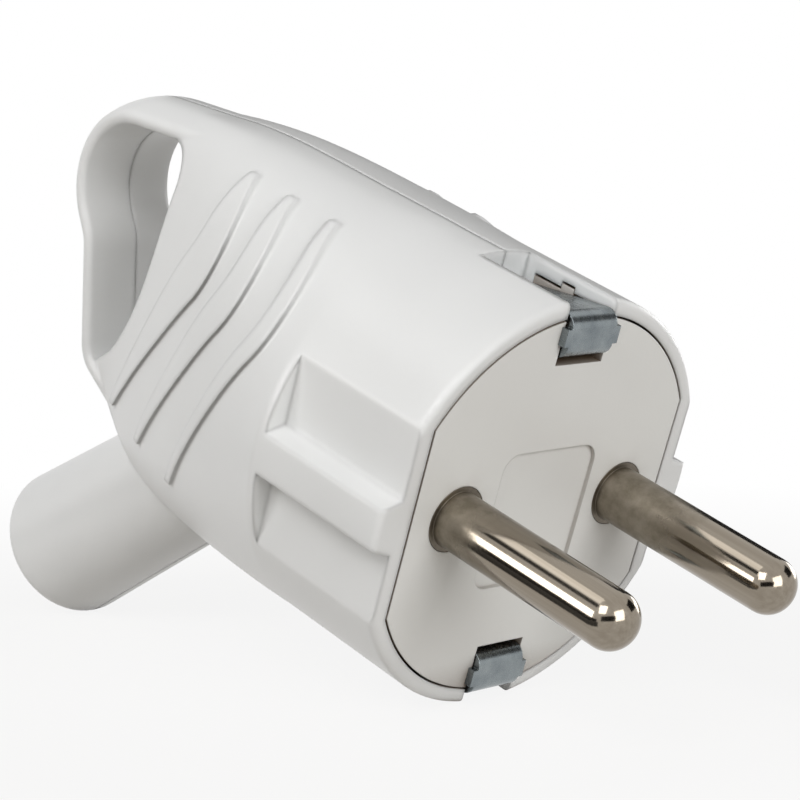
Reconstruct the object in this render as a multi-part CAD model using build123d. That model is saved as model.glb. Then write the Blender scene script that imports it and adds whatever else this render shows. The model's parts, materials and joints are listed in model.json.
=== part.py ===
from build123d import *
from math import asin, atan2, copysign, cos, degrees, hypot, pi, radians, sin, sqrt
import os

# Earthed two-pin plug with a pull ring and an angled cable sleeve, in millimetres.
# It is drawn with the pins along +X, one beside the other along Y, the earth contacts
# at the top and bottom (Z), and X = 0 on the face that meets the socket. At the end the
# whole plug is laid down as it rests: on the lower edge of its rim and on its sleeve.

# Pins, turned with a drilled terminal head behind the insert
PIN_DIAMETER = 4.8
PIN_LENGTH = 19.0
PIN_PITCH = 19.0
PIN_TIP_RADIUS = 2.2
PIN_NECK_DIAMETER = 5.6
PIN_HEAD_DIAMETER = 7.0
PIN_HEAD_LENGTH = 11.0
WIRE_HOLE_DIAMETER = 3.2
WIRE_HOLE_DEPTH = 9.0
TERMINAL_SCREW_SETBACK = 6.5

# Body of the housing
BODY_DIAMETER = 36.0
RIM_WALL = 1.3
RIM_EDGE_RADIUS = 0.5
BODY_WALL = 1.8
SHOULDER_X = -15.0
NECK_X = -50.0
NECK_WIDTH = 10.0
NECK_SQUARENESS = 3.6
NECK_FALL = 1.9
NECK_FALL_START_X = -34.0
TAPER_SOFTNESS = 0.06
BODY_SECTIONS = 7
SECTION_POINTS = 20
SEAM_GAP = 0.06
CAVITY_END_X = -37.0
WIRING_WALL = 2.7
WIRING_ROOM = 0.5

# Side pockets with their guide ribs
POCKET_LENGTH = 14.2
POCKET_FLATS = 31.9
POCKET_WALL = 1.35
GUIDE_ROOT_WIDTH = 4.7
GUIDE_TIP_WIDTH = 3.5

# Grip bands on the sides: each bends at a corner and narrows towards its top and its foot
GRIP_COUNT = 3
GRIP_HEIGHT = 0.35
GRIP_TOP = (-32.3, 16.4)
GRIP_CORNER = (-27.8, 10.2)
GRIP_STEP = 5.6
GRIP_FOOT = (-45.8, -11.1)
GRIP_FOOT_STEP = 7.8
GRIP_RADIUS = 8.0
GRIP_WIDTH = 6.4
GRIP_NARROWING = 1.9
GRIP_END_WIDTH = 1.0

# Pull ring: corners of the middle line of its band, in the plane of symmetry
RING_WIDTH = 10.4
RING_THICKNESS = 2.9
RING_EDGE_THICKNESS = 1.3
RING_INNER_CROWN = 0.4
RING_START = (-40.0, 15.9)
RING_CORNER = (-64.9, 12.7)
RING_CORNER_RADIUS = 6.9
RING_WAIST = (-56.0, 1.5)
RING_WAIST_RADIUS = 4.5
RING_HEEL = (-52.9, -9.4)
RING_HEEL_RADIUS = 3.0
RING_END = (-44.0, -13.6)

# Back of the body, which is the front wall of the finger hole, and the belly below it
TOP_END_X = -48.4
HOLE_TOP_Z = 14.4
HOLE_CORNER_RADIUS = 3.4
HOLE_FRONT_TOP_X = -42.4
HOLE_FRONT_MIDDLE = (-43.5, 2.7)
HOLE_FRONT_FOOT = (-48.9, -7.0)
HOLE_FLOOR_END = (-52.2, -9.7)
BELLY_START_X = -26.0
BELLY_MIDDLE = (-38.0, -16.7)
BELLY_END = (-46.5, -12.8)

# Cable sleeve
SLEEVE_END = (-55.8, -31.3)
SLEEVE_LEAN = 45.8
SLEEVE_END_DIAMETER = 14.5
SLEEVE_ROOT_DIAMETER = 12.5
SLEEVE_LENGTH = 27.0
SLEEVE_EDGE_RADIUS = 1.5
OUTLET_DIAMETER = 10.0
OUTLET_LENGTH = 34.0
OUTLET_MOUTH = 0.8

# Earth strap: one bent strip whose ends lie in the slots of the rim
STRAP_THICKNESS = 0.7
STRAP_WIDTH = 5.2
STRAP_RECESS = 0.9
STRAP_END_GAP = 0.4
STRAP_END_DROP = 1.6
STRAP_BEND_RADIUS = 0.9
STRAP_TAB_HEIGHT = 3.3
STRAP_BRIDGE_GAP = 2.2
TAB_WIDTH = 6.2
SLOT_WIDTH = 5.6
SLOT_LENGTH = 10.2

# Insert that carries the pins and the strap
INSERT_CLEARANCE = 0.2
INSERT_DEPTH = 9.0
INSERT_PLATE = 3.0
INSERT_WALL = 1.5
PIN_BOSS_DIAMETER = 9.4
EARTH_BOSS_DIAMETER = 6.6
BEAD_HEIGHT = 0.5
BEAD_SETBACK = 4.6
BEAD_WIDTH = 1.4
PANEL_WIDTH = 10.8
PANEL_TOP = 5.0
PANEL_BOTTOM = -7.0
PANEL_RADIUS = 1.6
PANEL_DEPTH = 0.35

# Screws, washer and cord clamp
FIT = 0.05
SCREW_SLOT_WIDTH = 0.8
SCREW_SLOT_DEPTH = 0.7
TERMINAL_SCREW_DIAMETER = 3.0
TERMINAL_SCREW_HEAD = 5.0
TERMINAL_SCREW_HEAD_HEIGHT = 1.8
EARTH_SCREW_DIAMETER = 3.2
EARTH_SCREW_HEAD = 6.0
EARTH_SCREW_HEAD_HEIGHT = 2.2
EARTH_SCREW_REACH = 6.0
WASHER_SIDE = 7.0
WASHER_THICKNESS = 0.9
CLAMP_DISTANCE = 38.0
CLAMP_SCREW_PITCH = 12.6
CLAMP_WIDTH = 5.4
CLAMP_THICKNESS = 2.2
CLAMP_SCREW_DIAMETER = 2.5
CLAMP_SCREW_HEAD = 4.6
CLAMP_SCREW_HEAD_HEIGHT = 1.6
CLAMP_SCREW_REACH = 4.5
CLAMP_BOSS_DIAMETER = 5.4
HOUSING_SCREW_DIAMETER = 3.0
HOUSING_SCREW_HEAD = 5.4
HOUSING_SCREW_HEAD_HEIGHT = 2.0
HOUSING_SCREW_SEAT = 3.0
HOUSING_SCREW_REACH = 4.5
HOUSING_BOSS_DIAMETER = 7.6
HOUSING_SCREWS = ((-37.0, 8.5), (-17.2, -11.6))
PIN_STOP_THICKNESS = 1.6

# Worked out from the sizes above
BODY_R = BODY_DIAMETER / 2
BORE_R = BODY_R - RIM_WALL
INSERT_R = BORE_R - INSERT_CLEARANCE
POCKET_Y = POCKET_FLATS / 2
INNER_FLAT_Y = POCKET_Y - POCKET_WALL
PIN_Y = PIN_PITCH / 2
PIN_HEAD_BACK_X = -INSERT_DEPTH - PIN_HEAD_LENGTH
STRAP_OUTER_SPAN = BODY_DIAMETER - 2 * STRAP_RECESS
STRAP_INNER_SPAN = STRAP_OUTER_SPAN - 2 * STRAP_TAB_HEIGHT
STRAP_OUTER_Z = (STRAP_OUTER_SPAN - STRAP_THICKNESS) / 2
STRAP_INNER_Z = (STRAP_INNER_SPAN - STRAP_THICKNESS) / 2
STRAP_FRONT_X = STRAP_THICKNESS / 2
STRAP_END_X = STRAP_END_GAP - SLOT_LENGTH
BRIDGE_FRONT_X = -INSERT_DEPTH - STRAP_BRIDGE_GAP
BRIDGE_BACK_X = BRIDGE_FRONT_X - STRAP_THICKNESS
SLEEVE_AXIS = (sin(radians(SLEEVE_LEAN)), cos(radians(SLEEVE_LEAN)))
SIDE_PLANE = Plane(origin=(0, 0, 0), x_dir=(1, 0, 0), z_dir=(0, -1, 0))
BOTTOM = (Align.CENTER, Align.CENTER, Align.MIN)
FAR = 60.0
SIDES = (-1, 1)


def section_plane(x, y=0.0, z=0.0):
    """Plane across the plug at x, with its own x axis along Y and its y axis along Z."""
    return Plane(origin=(x, y, z), x_dir=(0, 1, 0), z_dir=(1, 0, 0))


def rod(radius, x_from, x_to, y=0.0, z=0.0):
    """Cylinder along X."""
    return extrude(section_plane(x_from, y, z) * Circle(radius), x_to - x_from)


def cross_rod(radius, y_from, y_to, x, z):
    """Cylinder along Y."""
    plane = Plane(origin=(x, y_from, z), x_dir=(1, 0, 0), z_dir=(0, 1, 0))
    return extrude(plane * Circle(radius), y_to - y_from)


def block(x_from, x_to, y_from, y_to, z_from, z_to):
    """Box between two corners."""
    size = (x_to - x_from, y_to - y_from, z_to - z_from)
    middle = ((x_from + x_to) / 2, (y_from + y_to) / 2, (z_from + z_to) / 2)
    return Pos(*middle) * Box(*size)


def side_prism(outline, half_width):
    """Solid of an outline drawn in the plane of symmetry, as wide as given each side of it."""
    return extrude(make_face(SIDE_PLANE * outline), half_width, both=True)


def slotted_screw(shank_diameter, shank_length, head_diameter, head_height):
    """Cheese-head screw along +Z: its shank ends at 0 and its head sits on top."""
    screw = Cylinder(shank_diameter / 2, shank_length, align=BOTTOM)
    head = Cylinder(head_diameter / 2, head_height, align=BOTTOM)
    head = chamfer(head.edges().sort_by(Axis.Z)[-1], head_height / 5)
    top = shank_length + head_height
    slot = Pos(0, 0, top) * Box(head_diameter + 1, SCREW_SLOT_WIDTH, 2 * SCREW_SLOT_DEPTH)
    return screw + Pos(0, 0, shank_length) * head - slot


def taper(x):
    """Share of the taper that x has passed: 0 up to the shoulder, 1 at the neck and behind it."""
    return min(max((x - SHOULDER_X) / (NECK_X - SHOULDER_X), 0.0), 1.0)


def half_width(x):
    """Half the width of the body at x: it starts to narrow softly and then runs straight."""
    passed = taper(x)
    eased = max(passed - sin(pi * passed) * TAPER_SOFTNESS, 0.0)
    return BODY_R + (NECK_WIDTH / 2 - BODY_R) * eased


def half_height(x):
    """Half the height of the body at x: it falls off in a soft curve towards the ring."""
    passed = max((x - NECK_FALL_START_X) / (NECK_X - NECK_FALL_START_X), 0.0)
    return BODY_R - NECK_FALL * passed**2


def body_section(x, grow):
    """Cross section: a circle at the shoulder that turns into a tall rounded oblong."""
    power = 2 / (2 + (NECK_SQUARENESS - 2) * taper(x))
    wide = half_width(x) + grow
    high = half_height(x) + grow
    points = []
    for i in range(SECTION_POINTS):
        turn = 2 * pi * i / SECTION_POINTS
        y = wide * copysign(abs(cos(turn)) ** power, cos(turn))
        z = high * copysign(abs(sin(turn)) ** power, sin(turn))
        points.append((y, z))
    return section_plane(x) * make_face(Spline(*points, periodic=True))


def body_loft(grow, x_to):
    """Body that narrows from the round shoulder towards the neck of the ring."""
    step = (x_to - SHOULDER_X) / (BODY_SECTIONS - 1)
    return loft([body_section(SHOULDER_X + i * step, grow) for i in range(BODY_SECTIONS)])


def body_outline():
    """Side outline of the body: straight top, front wall of the finger hole, and belly."""
    high = BODY_R + 2
    corner_x = HOLE_FRONT_TOP_X - HOLE_CORNER_RADIUS
    corner_z = HOLE_TOP_Z - HOLE_CORNER_RADIUS
    lines = Polyline((FAR, high), (TOP_END_X, high), (TOP_END_X, HOLE_TOP_Z), (corner_x, HOLE_TOP_Z))
    lines += RadiusArc((corner_x, HOLE_TOP_Z), (HOLE_FRONT_TOP_X, corner_z), HOLE_CORNER_RADIUS)
    lines += ThreePointArc((HOLE_FRONT_TOP_X, corner_z), HOLE_FRONT_MIDDLE, HOLE_FRONT_FOOT)
    lines += Polyline(HOLE_FRONT_FOOT, HOLE_FLOOR_END, BELLY_END)
    lines += ThreePointArc(BELLY_END, BELLY_MIDDLE, (BELLY_START_X, -BODY_R))
    lines += Polyline((BELLY_START_X, -BODY_R), (BELLY_START_X, -high), (FAR, -high), (FAR, high))
    return lines


def grip_line(i, width, end_width):
    """One long side of a grip band, so far behind its front edge in the middle and at the ends."""
    top = (GRIP_TOP[0] + i * GRIP_STEP - end_width, GRIP_TOP[1])
    corner = (GRIP_CORNER[0] + i * GRIP_STEP - width, GRIP_CORNER[1])
    foot = (GRIP_FOOT[0] + i * GRIP_FOOT_STEP - end_width, GRIP_FOOT[1])
    return FilletPolyline(top, corner, foot, radius=GRIP_RADIUS)


def grip_outline(i):
    """Side outline of one grip band."""
    front = grip_line(i, 0, 0)
    back = grip_line(i, GRIP_WIDTH - i * GRIP_NARROWING, GRIP_END_WIDTH)
    return front + back + Line(front @ 0, back @ 0) + Line(front @ 1, back @ 1)


def sleeve_point(distance, beside=0.0):
    """Point in the plane of symmetry: so far up the sleeve's axis from its end, and beside it."""
    x = SLEEVE_END[0] + SLEEVE_AXIS[0] * distance + SLEEVE_AXIS[1] * beside
    z = SLEEVE_END[1] + SLEEVE_AXIS[1] * distance - SLEEVE_AXIS[0] * beside
    return (x, z)


def sleeve_frame():
    """Frame at the sleeve's end, with its z axis up the sleeve."""
    end = (SLEEVE_END[0], 0, SLEEVE_END[1])
    return Plane(origin=end, x_dir=(0, 1, 0), z_dir=(SLEEVE_AXIS[0], 0, SLEEVE_AXIS[1]))


def sleeve():
    """Outer form of the cable sleeve: a slightly flared tube with a rounded end."""
    form = Cone(SLEEVE_END_DIAMETER / 2, SLEEVE_ROOT_DIAMETER / 2, SLEEVE_LENGTH, align=BOTTOM)
    form = fillet(form.edges().sort_by(Axis.Z)[0], SLEEVE_EDGE_RADIUS)
    return sleeve_frame() * form


def outlet_bore():
    """Passage of the cable through the sleeve, with an eased mouth."""
    bore_r = OUTLET_DIAMETER / 2
    bore = Cylinder(bore_r, OUTLET_LENGTH, align=BOTTOM)
    mouth = Cone(bore_r + OUTLET_MOUTH, bore_r, OUTLET_MOUTH, align=BOTTOM)
    return sleeve_frame() * (bore + mouth)


def ring_band():
    """Band of the pull ring: a crowned section swept round the finger hole."""
    radii = [RING_CORNER_RADIUS, RING_WAIST_RADIUS, RING_HEEL_RADIUS]
    path = FilletPolyline(RING_START, RING_CORNER, RING_WAIST, RING_HEEL, RING_END, radius=radii)
    path = SIDE_PLANE * path
    edge = RING_EDGE_THICKNESS / 2
    half = RING_WIDTH / 2
    shoulder = half - edge / 2
    crown = RING_THICKNESS - RING_EDGE_THICKNESS - RING_INNER_CROWN
    lens = ThreePointArc((-shoulder, edge), (0, edge + crown), (shoulder, edge))
    lens += ThreePointArc((shoulder, edge), (half, 0), (shoulder, -edge))
    lens += Polyline((shoulder, -edge), (0, -edge - RING_INNER_CROWN), (-shoulder, -edge))
    lens += ThreePointArc((-shoulder, -edge), (-half, 0), (-shoulder, edge))
    across = Plane(origin=path @ 0, x_dir=(0, -1, 0), z_dir=path % 0)
    return sweep(across * make_face(lens), path)


def outer_half():
    """Left half of the housing from outside, before its pockets, slots and inside are cut."""
    near = block(-2 * FAR, FAR, -BODY_DIAMETER, -SEAM_GAP / 2, -FAR, FAR)
    front = extrude(body_section(SHOULDER_X, 0), -SHOULDER_X)
    front = fillet(front.edges().sort_by(Axis.X)[-1], RIM_EDGE_RADIUS)
    back_end = HOLE_FLOOR_END[0] - 1
    outline = side_prism(body_outline(), BODY_DIAMETER)
    body = (front + body_loft(0, back_end)) & outline & near
    raised = body_loft(GRIP_HEIGHT, back_end) & outline & near
    bands = [raised & side_prism(grip_outline(i), BODY_DIAMETER) for i in range(GRIP_COUNT)]
    return body + bands + [ring_band() & near, sleeve() & near]


def side_pockets():
    """Recesses beside the guide ribs, on both sides, open to the front."""
    root = GUIDE_ROOT_WIDTH / 2
    tip = GUIDE_TIP_WIDTH / 2
    out = BODY_R + 1
    reach = (out - POCKET_Y) / (BODY_R - POCKET_Y)
    far_tip = root + (tip - root) * reach
    pockets = []
    for side in SIDES:
        for up in SIDES:
            corner = (side * POCKET_Y, up * root)
            edge = (side * out, up * far_tip)
            outline = Polyline(
                corner, edge, (side * out, up * BODY_R), (side * POCKET_Y, up * BODY_R), corner
            )
            face = section_plane(-POCKET_LENGTH) * make_face(outline)
            pockets.append(extrude(face, POCKET_LENGTH + 1))
    return pockets


def strap_seat(x):
    """Height at which the slanting ends of the earth strap lie, less their clearance."""
    slope = STRAP_END_DROP / (STRAP_FRONT_X - STRAP_END_X)
    return STRAP_OUTER_Z - STRAP_THICKNESS / 2 - FIT + slope * (x - STRAP_FRONT_X)


def rim_slots():
    """Slots at the top and bottom of the rim, for the ends of the earth strap."""
    inner = strap_seat(-SLOT_LENGTH)
    half = SLOT_WIDTH / 2
    slots = []
    for up in SIDES:
        low, high = sorted((up * inner, up * (BODY_R + 1)))
        slots.append(block(-SLOT_LENGTH, 1, -half, half, low, high))
    return slots


def wiring_space(grow):
    """Space behind the insert, round at the top and bottom and narrowing in plan like the body."""
    ledge_end = -POCKET_LENGTH - POCKET_WALL
    pin_side = PIN_Y + PIN_HEAD_DIAMETER / 2 + WIRING_ROOM
    end_side = half_width(CAVITY_END_X) - WIRING_WALL
    side = [(0, INNER_FLAT_Y), (ledge_end, INNER_FLAT_Y), (PIN_HEAD_BACK_X, pin_side)]
    side += [(CAVITY_END_X, end_side), (CAVITY_END_X - BODY_WALL, end_side)]
    side = [(x, y + grow) for x, y in side]
    plan = side + [(x, -y) for x, y in reversed(side)]
    prism = extrude(make_face(Polyline(*plan, close=True)), BODY_R, both=True)
    return rod(INSERT_R - INSERT_WALL + grow, CAVITY_END_X - grow, -INSERT_DEPTH) & prism


def cavity():
    """Inside of the housing: seat of the insert with the groove for its bead, and the wiring space."""
    bead_x = -BEAD_SETBACK + FIT
    seat = rod(BORE_R, -INSERT_DEPTH, 1)
    seat += rod(BORE_R + BEAD_HEIGHT, bead_x - BEAD_WIDTH - 2 * FIT, bead_x)
    seat &= block(-FAR, FAR, -INNER_FLAT_Y, INNER_FLAT_Y, -FAR, FAR)
    return seat + wiring_space(0)


def clamp_places():
    """Places of the two clamp screws, either side of the cable."""
    return [sleeve_point(CLAMP_DISTANCE, side * CLAMP_SCREW_PITCH / 2) for side in SIDES]


def pin_stop():
    """Rib on the inside of the left half that keeps its pin from being pushed back."""
    front = PIN_HEAD_BACK_X - FIT
    half = PIN_HEAD_DIAMETER / 2
    inner = PIN_Y + WIRE_HOLE_DIAMETER / 2 + 2 * FIT
    return block(front - PIN_STOP_THICKNESS, front, -BODY_R, -inner, -half, half)


def plain_half():
    """What both halves of the housing have in common, as the left half."""
    half = outer_half() - (side_pockets() + rim_slots() + [cavity(), outlet_bore()])
    core = wiring_space(BODY_WALL / 2) - outlet_bore()
    boss_r = HOUSING_BOSS_DIAMETER / 2
    bosses = [cross_rod(boss_r, -BODY_R, -SEAM_GAP / 2, *place) for place in HOUSING_SCREWS]
    return half + [piece & core for piece in bosses + [pin_stop()]], core


def left_half(half, core):
    """Half that takes the threads of the housing screws and of the cord clamp's screws."""
    places = clamp_places()
    half += [cross_rod(CLAMP_BOSS_DIAMETER / 2, -BODY_R, -SEAM_GAP / 2, *place) & core for place in places]
    holes = [
        cross_rod(HOUSING_SCREW_DIAMETER / 2 + FIT, -HOUSING_SCREW_REACH - FIT, 0, *place)
        for place in HOUSING_SCREWS
    ]
    holes += [
        cross_rod(CLAMP_SCREW_DIAMETER / 2 + FIT, -CLAMP_SCREW_REACH - FIT, 0, *place) for place in places
    ]
    return half - holes


def right_half(half):
    """Mirrored half, with through holes and sunk seats for the heads of the housing screws."""
    holes = []
    for place in HOUSING_SCREWS:
        holes.append(cross_rod(HOUSING_SCREW_DIAMETER / 2 + FIT, 0, BODY_R, *place))
        holes.append(cross_rod(HOUSING_SCREW_HEAD / 2 + 2 * FIT, HOUSING_SCREW_SEAT, BODY_R + 1, *place))
    return mirror(half, about=Plane.XZ) - holes


def strap_line():
    """Middle line of the earth strap, from its end in the top slot to its end in the bottom one."""
    back = BRIDGE_FRONT_X - STRAP_THICKNESS / 2
    end = (STRAP_END_X, STRAP_OUTER_Z - STRAP_END_DROP)
    half = [end, (STRAP_FRONT_X, STRAP_OUTER_Z), (STRAP_FRONT_X, STRAP_INNER_Z), (back, STRAP_INNER_Z)]
    points = half + [(x, -z) for x, z in reversed(half)]
    return SIDE_PLANE * FilletPolyline(*points, radius=STRAP_BEND_RADIUS)


def earth_strap():
    """Bent strip with its two wider tabs on the face and the hole for the earth screw."""
    path = strap_line()
    across = Plane(origin=path @ 0, x_dir=(0, -1, 0), z_dir=path % 0)
    strap = sweep(across * Rectangle(STRAP_WIDTH, STRAP_THICKNESS), path)
    half = TAB_WIDTH / 2
    for up in SIDES:
        inner = STRAP_INNER_Z + STRAP_BEND_RADIUS
        outer = STRAP_OUTER_Z - STRAP_BEND_RADIUS
        low, high = sorted((up * inner, up * outer))
        strap += block(0, STRAP_THICKNESS, -half, half, low, high)
    return strap - rod(EARTH_SCREW_DIAMETER / 2 + FIT, BRIDGE_BACK_X - 1, BRIDGE_FRONT_X + 1)


def insert():
    """Round carrier with flat sides, pin bosses, earth boss, holding bead and face panel."""
    inner_r = INSERT_R - INSERT_WALL
    form = rod(INSERT_R, -INSERT_DEPTH, 0) - rod(inner_r, -INSERT_DEPTH - 1, -INSERT_PLATE)
    form += rod(BORE_R + BEAD_HEIGHT - INSERT_CLEARANCE, -BEAD_SETBACK - BEAD_WIDTH, -BEAD_SETBACK) - rod(
        inner_r + INSERT_WALL / 2, -INSERT_DEPTH, 0
    )
    flat = INNER_FLAT_Y - INSERT_CLEARANCE
    wall = flat - INSERT_WALL
    for side in SIDES:
        low, high = sorted((side * wall, side * flat))
        form += block(-INSERT_DEPTH, 0, low, high, -inner_r, inner_r) & rod(INSERT_R, -INSERT_DEPTH, 0)
        form += rod(PIN_BOSS_DIAMETER / 2, -INSERT_DEPTH, -INSERT_PLATE, side * PIN_Y)
    form &= block(-FAR, FAR, -flat, flat, -FAR, FAR)
    form += rod(EARTH_BOSS_DIAMETER / 2, BRIDGE_FRONT_X, -INSERT_PLATE)
    for side in SIDES:
        form -= rod(PIN_NECK_DIAMETER / 2 + FIT, -INSERT_DEPTH - 1, 1, side * PIN_Y)
    form -= rod(EARTH_SCREW_DIAMETER / 2 + FIT, BRIDGE_FRONT_X - 1, BRIDGE_BACK_X + EARTH_SCREW_REACH + FIT)
    half = STRAP_WIDTH / 2 + 2 * FIT
    bend = STRAP_BEND_RADIUS + FIT
    behind = -INSERT_DEPTH - 1
    edge = strap_seat(0) - bend
    for up in SIDES:
        low, high = sorted((up * (STRAP_INNER_Z - bend), up * (STRAP_INNER_Z + bend)))
        form -= block(behind, 1, -half, half, low, high)
        groove = [(1, FAR), (1, edge), (0, edge), (-bend, strap_seat(-bend))]
        groove += [(behind, strap_seat(behind)), (behind, FAR)]
        groove = [(x, up * z) for x, z in groove]
        form -= side_prism(Polyline(*groove, close=True), SLOT_WIDTH / 2)
    middle = (PANEL_TOP + PANEL_BOTTOM) / 2
    panel = section_plane(-PANEL_DEPTH, 0, middle) * RectangleRounded(
        PANEL_WIDTH, PANEL_TOP - PANEL_BOTTOM, PANEL_RADIUS
    )
    return form - extrude(panel, 1)


def pin(side):
    """Turned pin with a rounded tip and a drilled head for the wire and its screw."""
    shank = rod(PIN_DIAMETER / 2, 0, PIN_LENGTH, side * PIN_Y)
    shank = fillet(shank.edges().sort_by(Axis.X)[-1], PIN_TIP_RADIUS)
    head = rod(PIN_HEAD_DIAMETER / 2, PIN_HEAD_BACK_X, -INSERT_DEPTH, side * PIN_Y)
    head = chamfer(head.edges().filter_by(GeomType.CIRCLE).sort_by(Axis.X)[0], 0.4)
    form = shank + head + rod(PIN_NECK_DIAMETER / 2, -INSERT_DEPTH, 0, side * PIN_Y)
    wire_end = PIN_HEAD_BACK_X + WIRE_HOLE_DEPTH
    form -= rod(WIRE_HOLE_DIAMETER / 2, PIN_HEAD_BACK_X - 1, wire_end, side * PIN_Y)
    hole = Cylinder(TERMINAL_SCREW_DIAMETER / 2 + FIT, PIN_HEAD_DIAMETER, align=BOTTOM)
    return form - Pos(PIN_HEAD_BACK_X + TERMINAL_SCREW_SETBACK, side * PIN_Y, 0) * hole


def terminal_screw(side):
    """Screw that presses the wire in a pin's head; its head stands on the round of the pin's head."""
    length = PIN_HEAD_DIAMETER / 2
    screw = slotted_screw(
        TERMINAL_SCREW_DIAMETER, length, TERMINAL_SCREW_HEAD, TERMINAL_SCREW_HEAD_HEIGHT
    )
    return Pos(PIN_HEAD_BACK_X + TERMINAL_SCREW_SETBACK, side * PIN_Y, FIT) * screw


def earth_screw():
    """Screw that holds the earth wire and the strap on the insert."""
    length = EARTH_SCREW_REACH + WASHER_THICKNESS
    screw = slotted_screw(EARTH_SCREW_DIAMETER, length, EARTH_SCREW_HEAD, EARTH_SCREW_HEAD_HEIGHT)
    tip = BRIDGE_BACK_X + EARTH_SCREW_REACH
    return Plane(origin=(tip, 0, 0), x_dir=(0, 1, 0), z_dir=(-1, 0, 0)) * screw


def earth_washer():
    """Square pressure washer under the earth screw."""
    half = WASHER_SIDE / 2
    plate = block(BRIDGE_BACK_X - WASHER_THICKNESS, BRIDGE_BACK_X, -half, half, -half, half)
    return plate - rod(EARTH_SCREW_DIAMETER / 2 + FIT, BRIDGE_BACK_X - 2, BRIDGE_BACK_X + 1)


def clamp_bar():
    """Bar across the cable, on the two bosses of the left half."""
    middle = sleeve_point(CLAMP_DISTANCE)
    ends = CLAMP_SCREW_PITCH / 2
    across = (SLEEVE_AXIS[1], 0, -SLEEVE_AXIS[0])
    plane = Plane(origin=(middle[0], -SEAM_GAP / 2, middle[1]), x_dir=across, z_dir=(0, 1, 0))
    outline = SlotCenterToCenter(2 * ends, CLAMP_WIDTH)
    holes = Locations((-ends, 0), (ends, 0)) * Circle(CLAMP_SCREW_DIAMETER / 2 + FIT)
    for hole in holes:
        outline -= hole
    return extrude(plane * outline, CLAMP_THICKNESS)


def clamp_screw(place):
    """Screw through one end of the clamp bar."""
    length = CLAMP_SCREW_REACH + CLAMP_THICKNESS - SEAM_GAP / 2
    screw = slotted_screw(CLAMP_SCREW_DIAMETER, length, CLAMP_SCREW_HEAD, CLAMP_SCREW_HEAD_HEIGHT)
    tip = (place[0], -CLAMP_SCREW_REACH, place[1])
    return Plane(origin=tip, x_dir=(1, 0, 0), z_dir=(0, 1, 0)) * screw


def housing_screw(place):
    """Screw that draws the two halves together, with its head sunk in the right half."""
    length = HOUSING_SCREW_REACH + HOUSING_SCREW_SEAT
    screw = slotted_screw(HOUSING_SCREW_DIAMETER, length, HOUSING_SCREW_HEAD, HOUSING_SCREW_HEAD_HEIGHT)
    tip = (place[0], -HOUSING_SCREW_REACH, place[1])
    return Plane(origin=tip, x_dir=(1, 0, 0), z_dir=(0, 1, 0)) * screw


def resting_tilt():
    """Nose-down turn, in degrees, that brings the rim's lower edge and the sleeve's end to one level."""
    rim_z = sqrt(BODY_R**2 - (SLOT_WIDTH / 2) ** 2)
    rim = (-RIM_EDGE_RADIUS, RIM_EDGE_RADIUS - rim_z)
    end = sleeve_point(SLEEVE_EDGE_RADIUS, SLEEVE_END_DIAMETER / 2 - SLEEVE_EDGE_RADIUS)
    run = rim[0] - end[0]
    rise = rim[1] - end[1]
    lift = asin((SLEEVE_EDGE_RADIUS - RIM_EDGE_RADIUS) / hypot(run, rise))
    return degrees(atan2(rise, run) + lift)


def build():
    """All the pieces, in the frame in which the plug is drawn. Like fasteners are one group."""
    half, core = plain_half()
    return {
        "housing_left_half": left_half(half, core),
        "housing_right_half": right_half(half),
        "contact_insert": insert(),
        "pin_left": pin(-1),
        "pin_right": pin(1),
        "terminal_screws": Compound([terminal_screw(side).solid() for side in SIDES]),
        "earth_strap": earth_strap(),
        "earth_washer": earth_washer(),
        "earth_screw": earth_screw(),
        "cord_clamp_bar": clamp_bar(),
        "clamp_screws": Compound([clamp_screw(place).solid() for place in clamp_places()]),
        "housing_screws": Compound([housing_screw(place).solid() for place in HOUSING_SCREWS]),
    }


def laid_down(pieces):
    """The pieces as the plug rests, with the origin under the middle of the whole."""
    turn = Rot(0, resting_tilt(), 0)
    turned = {name: turn * piece for name, piece in pieces.items()}
    box = Compound([solid for piece in turned.values() for solid in piece.solids()]).bounding_box()
    shift = Pos(-box.center().X, -box.center().Y, -box.min.Z)
    return {name: shift * piece for name, piece in turned.items()}


os.makedirs("parts", exist_ok=True)
for name, piece in laid_down(build()).items():
    export_step(piece, f"parts/{name}.step")
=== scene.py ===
import json
import math

import bpy
from mathutils import Matrix, Vector

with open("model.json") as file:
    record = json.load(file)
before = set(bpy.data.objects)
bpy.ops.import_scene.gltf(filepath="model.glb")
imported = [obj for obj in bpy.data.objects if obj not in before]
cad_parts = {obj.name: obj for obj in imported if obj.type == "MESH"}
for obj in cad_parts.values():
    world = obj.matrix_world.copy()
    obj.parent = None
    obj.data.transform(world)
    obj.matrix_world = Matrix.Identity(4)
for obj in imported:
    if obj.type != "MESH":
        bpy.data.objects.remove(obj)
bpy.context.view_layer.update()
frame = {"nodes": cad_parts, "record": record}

# The plug lies nose down: its own long axis leans by this angle from the level X axis.
TILT = math.radians(19.881)
FACE_CENTRE = (0.023765, 0.0, 0.016580)
PIN_MIDDLE = (0.033, 0.0, 0.013)

# Plastic. A pattern's scale is in turns per metre, and depths and spans are in metres.
TONE_SCALE = 55.0
GRAIN_SCALE = 3200.0
GRAIN_DEPTH = 0.00003
FLOW_STRETCH = (40.0, 130.0, 130.0)
FLOW_DEPTH = 0.0003
PLASTIC_IOR = 1.5
# Painted shade and dust in gaps: these browns darken narrow gaps, most of all at the face.
DUST_AND_SHADE_DARK = (0.13, 0.075, 0.035)
DUST_AND_SHADE_PALE = (0.18, 0.11, 0.058)
DUST_AND_SHADE_FROM_X = -0.0045
DUST_AND_SHADE_FULL_X = -0.0020
GAP_OPENNESS = 0.06

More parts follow.
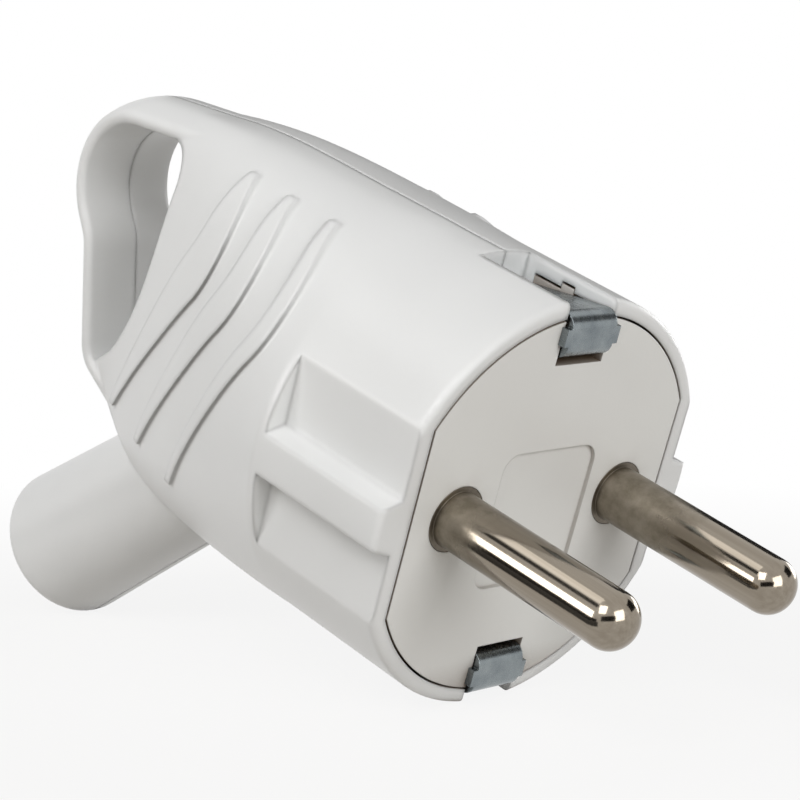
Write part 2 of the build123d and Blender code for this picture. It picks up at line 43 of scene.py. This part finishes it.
# Metal
METAL_EDGE = 0.00012
CLOUD_SCALE = 420.0
MARK_DEPTH = 0.00004
MOTTLE_SCALE = 650.0
MOTTLE_DEPTH = 0.00008
DRAWN_STRETCH = (45.0, 2400.0, 2400.0)
DRAWN_DEPTH = 0.00003
BRIGHT_NICKEL = ((0.25, 0.214, 0.170), (0.31, 0.272, 0.222))
DULL_NICKEL = ((0.20, 0.172, 0.130), (0.31, 0.274, 0.222))
# The foot colours and span paint shade as a dark ring where each pin meets the face.
FOOT_SHADE_NICKEL = ((0.11, 0.094, 0.072), (0.19, 0.165, 0.13))
DULL_TO_X = 0.0072
BRIGHT_FROM_X = 0.0112
DULL_RAGGED = 0.007
DULL_LEAN = -0.22
FOOT_SHADE_TO_X = 0.00005
FOOT_SHADE_END_X = 0.00022

# Stage
FLOOR_REACH = 6.0
FLOOR_COLOUR = (0.60, 0.578, 0.545, 1.0)
FLOOR_WHITE_NEAR = 0.88
NEAR_RADIUS = 0.045
FAR_RADIUS = 0.12
WHITE = (1.0, 1.0, 1.0)
SKY_TINT = (1.0, 0.965, 0.92)
SKY_LIGHT = 0.13
LIGHT_AIM = (0.0, 0.0, 0.02)
CARD_BLACK = ((0.010, 0.010, 0.011), (0.018, 0.018, 0.018))
CARD_SCALE = 300.0
FLOOR_CARD = Vector((-0.13, -0.2225, 0.002))

# Camera, fitted to the photograph
CAMERA_EYE = Vector((0.157926, -0.146660, 0.047160))
CAMERA_RIGHT = Vector((0.69962, 0.71448, -0.00698))
CAMERA_UP = Vector((-0.07363, 0.08181, 0.99392))
FOCAL_LENGTH = 112.233
SENSOR_WIDTH = 36.0


# Materials

def new_material(name):
    material = bpy.data.materials.new(name)
    material.use_nodes = True
    tree = material.node_tree
    return material, tree, tree.nodes["Principled BSDF"]


def plug_coordinates(tree):
    """Coordinates along the plug: X from its face along the pins, Y across, Z up to the earth contact."""
    place = tree.nodes.new("ShaderNodeTexCoord")
    lean = tree.nodes.new("ShaderNodeMapping")
    lean.vector_type = "TEXTURE"
    lean.inputs["Location"].default_value = FACE_CENTRE
    lean.inputs["Rotation"].default_value = (0.0, TILT, 0.0)
    tree.links.new(place.outputs["Object"], lean.inputs["Vector"])
    return lean.outputs["Vector"]


def along_and_across(tree, vector):
    node = tree.nodes.new("ShaderNodeSeparateXYZ")
    tree.links.new(vector, node.inputs["Vector"])
    return node.outputs["X"], node.outputs["Y"]


def stretched(tree, vector, scale):
    node = tree.nodes.new("ShaderNodeMapping")
    node.inputs["Scale"].default_value = scale
    tree.links.new(vector, node.inputs["Vector"])
    return node.outputs["Vector"]


def noise(tree, vector, scale, detail=3.0, roughness=0.55):
    node = tree.nodes.new("ShaderNodeTexNoise")
    node.inputs["Scale"].default_value = scale
    node.inputs["Detail"].default_value = detail
    node.inputs["Roughness"].default_value = roughness
    tree.links.new(vector, node.inputs["Vector"])
    return node.outputs["Fac"]


def ramp(tree, factor, stops):
    """Colour ramp with two stops, each a position and a colour."""
    node = tree.nodes.new("ShaderNodeValToRGB")
    for element, (position, colour) in zip(node.color_ramp.elements, stops):
        element.position = position
        element.color = (*colour, 1.0)
    tree.links.new(factor, node.inputs["Fac"])
    return node.outputs["Color"]


def calculate(tree, operation, first, second, third=None):
    node = tree.nodes.new("ShaderNodeMath")
    node.operation = operation
    for socket, value in zip(node.inputs, (first, second, third)):
        if isinstance(value, float):
            socket.default_value = value
        elif value is not None:
            tree.links.new(value, socket)
    return node.outputs[0]


def mixed(tree, kind, factor, first, second):
    node = tree.nodes.new("ShaderNodeMix")
    node.data_type = kind
    sockets = [socket for socket in node.inputs if socket.enabled]
    for socket, value in zip(sockets, (factor, first, second)):
        tree.links.new(value, socket)
    return next(socket for socket in node.outputs if socket.enabled)


def spread(tree, factor, low, high, start=0.0, end=1.0):
    node = tree.nodes.new("ShaderNodeMapRange")
    node.inputs["From Min"].default_value = start
    node.inputs["From Max"].default_value = end
    node.inputs["To Min"].default_value = low
    node.inputs["To Max"].default_value = high
    tree.links.new(factor, node.inputs["Value"])
    return node.outputs["Result"]


def bump(tree, height, strength, distance, normal):
    node = tree.nodes.new("ShaderNodeBump")
    node.inputs["Strength"].default_value = strength
    node.inputs["Distance"].default_value = distance
    tree.links.new(height, node.inputs["Height"])
    tree.links.new(normal, node.inputs["Normal"])
    return node.outputs["Normal"]


def eased_edges(tree, radius):
    node = tree.nodes.new("ShaderNodeBevel")
    node.samples = 6
    node.inputs["Radius"].default_value = radius
    return node.outputs["Normal"]


def closeness(tree, distance, limit):
    """1 in narrow gaps, 0 on faces that are more open than the limit."""
    node = tree.nodes.new("ShaderNodeAmbientOcclusion")
    node.samples = 8
    node.inputs["Distance"].default_value = distance
    return spread(tree, node.outputs["AO"], 1.0, 0.0, GAP_OPENNESS, limit)


def moulding(name, colour, shade, roughness, edge, gap, limit, behind):
    """Moulded plastic: slow tone, fine spark-eroded grain, faint flow marks, eased edges, painted shade and
    dust in gaps.
    """
    material, tree, shader = new_material(name)
    where = plug_coordinates(tree)
    slow = noise(tree, where, TONE_SCALE, 2.0)
    tone = ramp(tree, slow, [(0.35, shade), (0.65, colour)])
    # Painted shade and dust: narrow gaps, slots and hollows are darkened towards brown.
    dust_and_shade = ramp(tree, slow, [(0.35, DUST_AND_SHADE_DARK), (0.65, DUST_AND_SHADE_PALE)])
    along, _ = along_and_across(tree, where)
    # Gaps at the face get all the painted shade and dust, and those behind it the share that is given.
    dust_and_shade_reach = spread(tree, along, behind, 1.0, DUST_AND_SHADE_FROM_X, DUST_AND_SHADE_FULL_X)
    dust_and_shade_share = calculate(tree, "MULTIPLY", closeness(tree, gap, limit), dust_and_shade_reach)
    tree.links.new(mixed(tree, "RGBA", dust_and_shade_share, tone, dust_and_shade), shader.inputs["Base Color"])
    grain = noise(tree, where, GRAIN_SCALE, 2.0, 0.6)
    flow = noise(tree, stretched(tree, where, FLOW_STRETCH), 1.0, 2.0)
    tree.links.new(spread(tree, flow, roughness - 0.05, roughness + 0.07), shader.inputs["Roughness"])
    normal = bump(tree, flow, 0.10, FLOW_DEPTH, eased_edges(tree, edge))
    normal = bump(tree, grain, 0.22, GRAIN_DEPTH, normal)
    tree.links.new(normal, shader.inputs["Normal"])
    shader.inputs["IOR"].default_value = PLASTIC_IOR
    return material


def plated(name, bright, dull, roughness, marks):
    """Plated metal: cloudy tone, fine marks stretched as given, eased edges."""
    material, tree, shader = new_material(name)
    where = plug_coordinates(tree)
    cloud = noise(tree, where, CLOUD_SCALE, 4.0, 0.6)
    tone = ramp(tree, cloud, [(0.3, dull), (0.7, bright)])
    tree.links.new(tone, shader.inputs["Base Color"])
    fine = noise(tree, stretched(tree, where, marks), 1.0, 3.0, 0.6)
    tree.links.new(spread(tree, fine, roughness - 0.06, roughness + 0.10), shader.inputs["Roughness"])
    normal = bump(tree, fine, 0.16, MARK_DEPTH, eased_edges(tree, METAL_EDGE))
    tree.links.new(normal, shader.inputs["Normal"])
    shader.inputs["Metallic"].default_value = 1.0
    return material


def pin_metal(name):
    """Nickel plate on the pins: bright and drawn lengthwise, dull and mottled where it leaves the face,
    with painted shade at the foot.
    """
    material, tree, shader = new_material(name)
    where = plug_coordinates(tree)
    along, across = along_and_across(tree, where)
    mottle = noise(tree, where, MOTTLE_SCALE, 5.0, 0.65)
    drawn = noise(tree, stretched(tree, where, DRAWN_STRETCH), 1.0, 3.0, 0.6)
    # The dull part is longer on the right pin, and its border is ragged.
    leaning = calculate(tree, "MULTIPLY_ADD", across, DULL_LEAN, along)
    ragged = calculate(tree, "MULTIPLY_ADD", mottle, DULL_RAGGED, leaning)
    dull = spread(tree, ragged, 1.0, 0.0, DULL_TO_X, BRIGHT_FROM_X)
    bright_tone = ramp(tree, drawn, zip((0.30, 0.70), BRIGHT_NICKEL))
    dull_tone = ramp(tree, mottle, zip((0.35, 0.65), DULL_NICKEL))
    plate = mixed(tree, "RGBA", dull, bright_tone, dull_tone)
    # Painted shade: a dark ring on the pin where it meets the face.
    foot_shade_tone = ramp(tree, mottle, zip((0.3, 0.7), FOOT_SHADE_NICKEL))
    foot_shade = spread(tree, along, 1.0, 0.0, FOOT_SHADE_TO_X, FOOT_SHADE_END_X)
    tree.links.new(mixed(tree, "RGBA", foot_shade, plate, foot_shade_tone), shader.inputs["Base Color"])
    smooth = spread(tree, drawn, 0.07, 0.17)
    rough = spread(tree, mottle, 0.34, 0.50)
    tree.links.new(mixed(tree, "FLOAT", dull, smooth, rough), shader.inputs["Roughness"])
    normal = bump(tree, drawn, 0.05, DRAWN_DEPTH, eased_edges(tree, METAL_EDGE))
    normal = bump(tree, calculate(tree, "MULTIPLY", mottle, dull), 0.12, MOTTLE_DEPTH, normal)
    tree.links.new(normal, shader.inputs["Normal"])
    shader.inputs["Metallic"].default_value = 1.0
    return material


looks = {
    "housing": moulding(
        "housing_white", (0.800, 0.805, 0.80), (0.770, 0.775, 0.77),
        roughness=0.30, edge=0.0008, gap=0.0022, limit=0.34, behind=0.25,
    ),
    "insert": moulding(
        "insert_off_white", (0.785, 0.785, 0.762), (0.755, 0.75, 0.728),
        roughness=0.40, edge=0.0002, gap=0.0060, limit=0.75, behind=1.0,
    ),
    "clamp": moulding(
        "clamp_plastic", (0.72, 0.72, 0.70), (0.68, 0.68, 0.66),
        roughness=0.5, edge=0.0002, gap=0.0022, limit=0.34, behind=1.0,
    ),
    "pin": pin_metal("pin_nickel"),
    "contact": plated(
        "contact_zinc", (0.285, 0.315, 0.323), (0.178, 0.202, 0.217),
        roughness=0.25, marks=(300.0, 2400.0, 2400.0),
    ),
    "screw": plated(
        "screw_zinc", (0.66, 0.66, 0.64), (0.52, 0.52, 0.50),
        roughness=0.34, marks=(1500.0, 1500.0, 1500.0),
    ),
}

for part in frame["record"]["subparts"]:
    mesh = frame["nodes"][part["node"]].data
    mesh.materials.clear()
    mesh.materials.append(looks[part["material_slot"]])


# Floor, light and camera

def seen_directly(tree):
    """1 for what the camera sees straight, in a mirror or through glass."""
    path = tree.nodes.new("ShaderNodeLightPath")
    total = path.outputs["Is Camera Ray"]
    for name in ("Is Glossy Ray", "Is Transmission Ray"):
        total = calculate(tree, "MAXIMUM", total, path.outputs[name])
    return total


def floor_material():
    """Pale floor that turns white away from the plug and keeps a part of the shadow near it."""
    material = bpy.data.materials.new("pale_floor")
    material.use_nodes = True
    tree = material.node_tree
    tree.nodes.clear()
    output = tree.nodes.new("ShaderNodeOutputMaterial")
    lit = tree.nodes.new("ShaderNodeBsdfDiffuse")
    lit.inputs["Color"].default_value = FLOOR_COLOUR
    plain = tree.nodes.new("ShaderNodeEmission")
    plain.inputs["Color"].default_value = (*WHITE, 1.0)
    place = tree.nodes.new("ShaderNodeTexCoord")
    away = tree.nodes.new("ShaderNodeVectorMath")
    away.operation = "LENGTH"
    tree.links.new(place.outputs["Object"], away.inputs[0])
    white = spread(tree, away.outputs["Value"], FLOOR_WHITE_NEAR, 1.0, NEAR_RADIUS, FAR_RADIUS)
    share = calculate(tree, "MULTIPLY", seen_directly(tree), white)
    both = tree.nodes.new("ShaderNodeMixShader")
    tree.links.new(share, both.inputs["Fac"])
    tree.links.new(lit.outputs[0], both.inputs[1])
    tree.links.new(plain.outputs[0], both.inputs[2])
    tree.links.new(both.outputs[0], output.inputs["Surface"])
    return material


def panel(name, width, height, material):
    """Flat rectangle of the stage, level and at the origin until it is placed."""
    x = width / 2
    y = height / 2
    mesh = bpy.data.meshes.new(name)
    mesh.from_pydata([(-x, -y, 0.0), (x, -y, 0.0), (x, y, 0.0), (-x, y, 0.0)], [], [(0, 1, 2, 3)])
    mesh.materials.append(material)
    sheet = bpy.data.objects.new(name, mesh)
    bpy.context.scene.collection.objects.link(sheet)
    return sheet


panel("floor", 2 * FLOOR_REACH, 2 * FLOOR_REACH, floor_material())

world = bpy.data.worlds.new("studio")
world.use_nodes = True
bpy.context.scene.world = world
sky = world.node_tree
back = sky.nodes["Background"]
seen = seen_directly(sky)
tint = ramp(sky, seen, [(0.0, SKY_TINT), (1.0, WHITE)])
sky.links.new(tint, back.inputs["Color"])
sky.links.new(spread(sky, seen, SKY_LIGHT, 1.0), back.inputs["Strength"])


def softbox(name, place, size, power):
    lamp = bpy.data.lights.new(name, "AREA")
    lamp.shape = "RECTANGLE"
    lamp.size, lamp.size_y = size
    lamp.energy = power
    box = bpy.data.objects.new(name, lamp)
    bpy.context.scene.collection.objects.link(box)
    box.location = place
    box.rotation_euler = (Vector(LIGHT_AIM) - Vector(place)).to_track_quat("-Z", "Y").to_euler()


softbox("key_light", (0.12, -0.45, 0.42), (0.30, 0.30), 1.55)
softbox("strip_light", (-0.338, -0.67, 0.273), (0.22, 0.25), 1.20)
softbox("top_light", (-0.164, -0.273, 0.74), (0.25, 0.26), 0.25)
softbox("fill_light", (0.75, -0.10, 0.22), (0.5, 0.5), 3.25)
softbox("back_light", (-0.10, 0.80, 0.14), (0.60, 0.26), 2.0)


black_card, card_tree, card_shader = new_material("black_card")
card_cloth = noise(card_tree, plug_coordinates(card_tree), CARD_SCALE)
card_tone = ramp(card_tree, card_cloth, zip((0.3, 0.7), CARD_BLACK))
card_tree.links.new(card_tone, card_shader.inputs["Base Color"])
card_shader.inputs["Roughness"].default_value = 0.9


def flag(name, place, size, aim=PIN_MIDDLE):
    """Black card of the studio that only shows in reflections."""
    card = panel(name, *size, black_card)
    card.location = place
    card.rotation_euler = (Vector(aim) - Vector(place)).to_track_quat("Z", "Y").to_euler()
    card.visible_camera = False
    card.visible_diffuse = False
    card.visible_shadow = False


flag("flag_floor", FLOOR_CARD, (0.34, 0.365), aim=FLOOR_CARD + Vector((0.0, 0.0, 1.0)))
flag("flag_low", (-0.28, -0.51, 0.05), (0.60, 0.10))
flag("flag_front", (0.40, -0.46, 0.12), (0.62, 0.20))
flag("flag_back", (-0.30, 0.48, 0.20), (0.40, 0.44))
flag("flag_right", (0.30, 0.45, 0.27), (0.34, 0.26))
flag("flag_top", (-0.137, -0.332, 0.416), (0.25, 0.10))

camera_data = bpy.data.cameras.new("camera")
camera_data.lens = FOCAL_LENGTH
camera_data.sensor_width = SENSOR_WIDTH
camera_data.clip_start = 0.01
camera_data.clip_end = 20.0
camera = bpy.data.objects.new("camera", camera_data)
bpy.context.scene.collection.objects.link(camera)
backwards = CAMERA_RIGHT.cross(CAMERA_UP)
turn = Matrix((CAMERA_RIGHT, CAMERA_UP, backwards)).transposed()
camera.matrix_world = Matrix.Translation(CAMERA_EYE) @ turn.to_4x4()
bpy.context.scene.camera = camera

bpy.context.scene.view_settings.view_transform = "Standard"
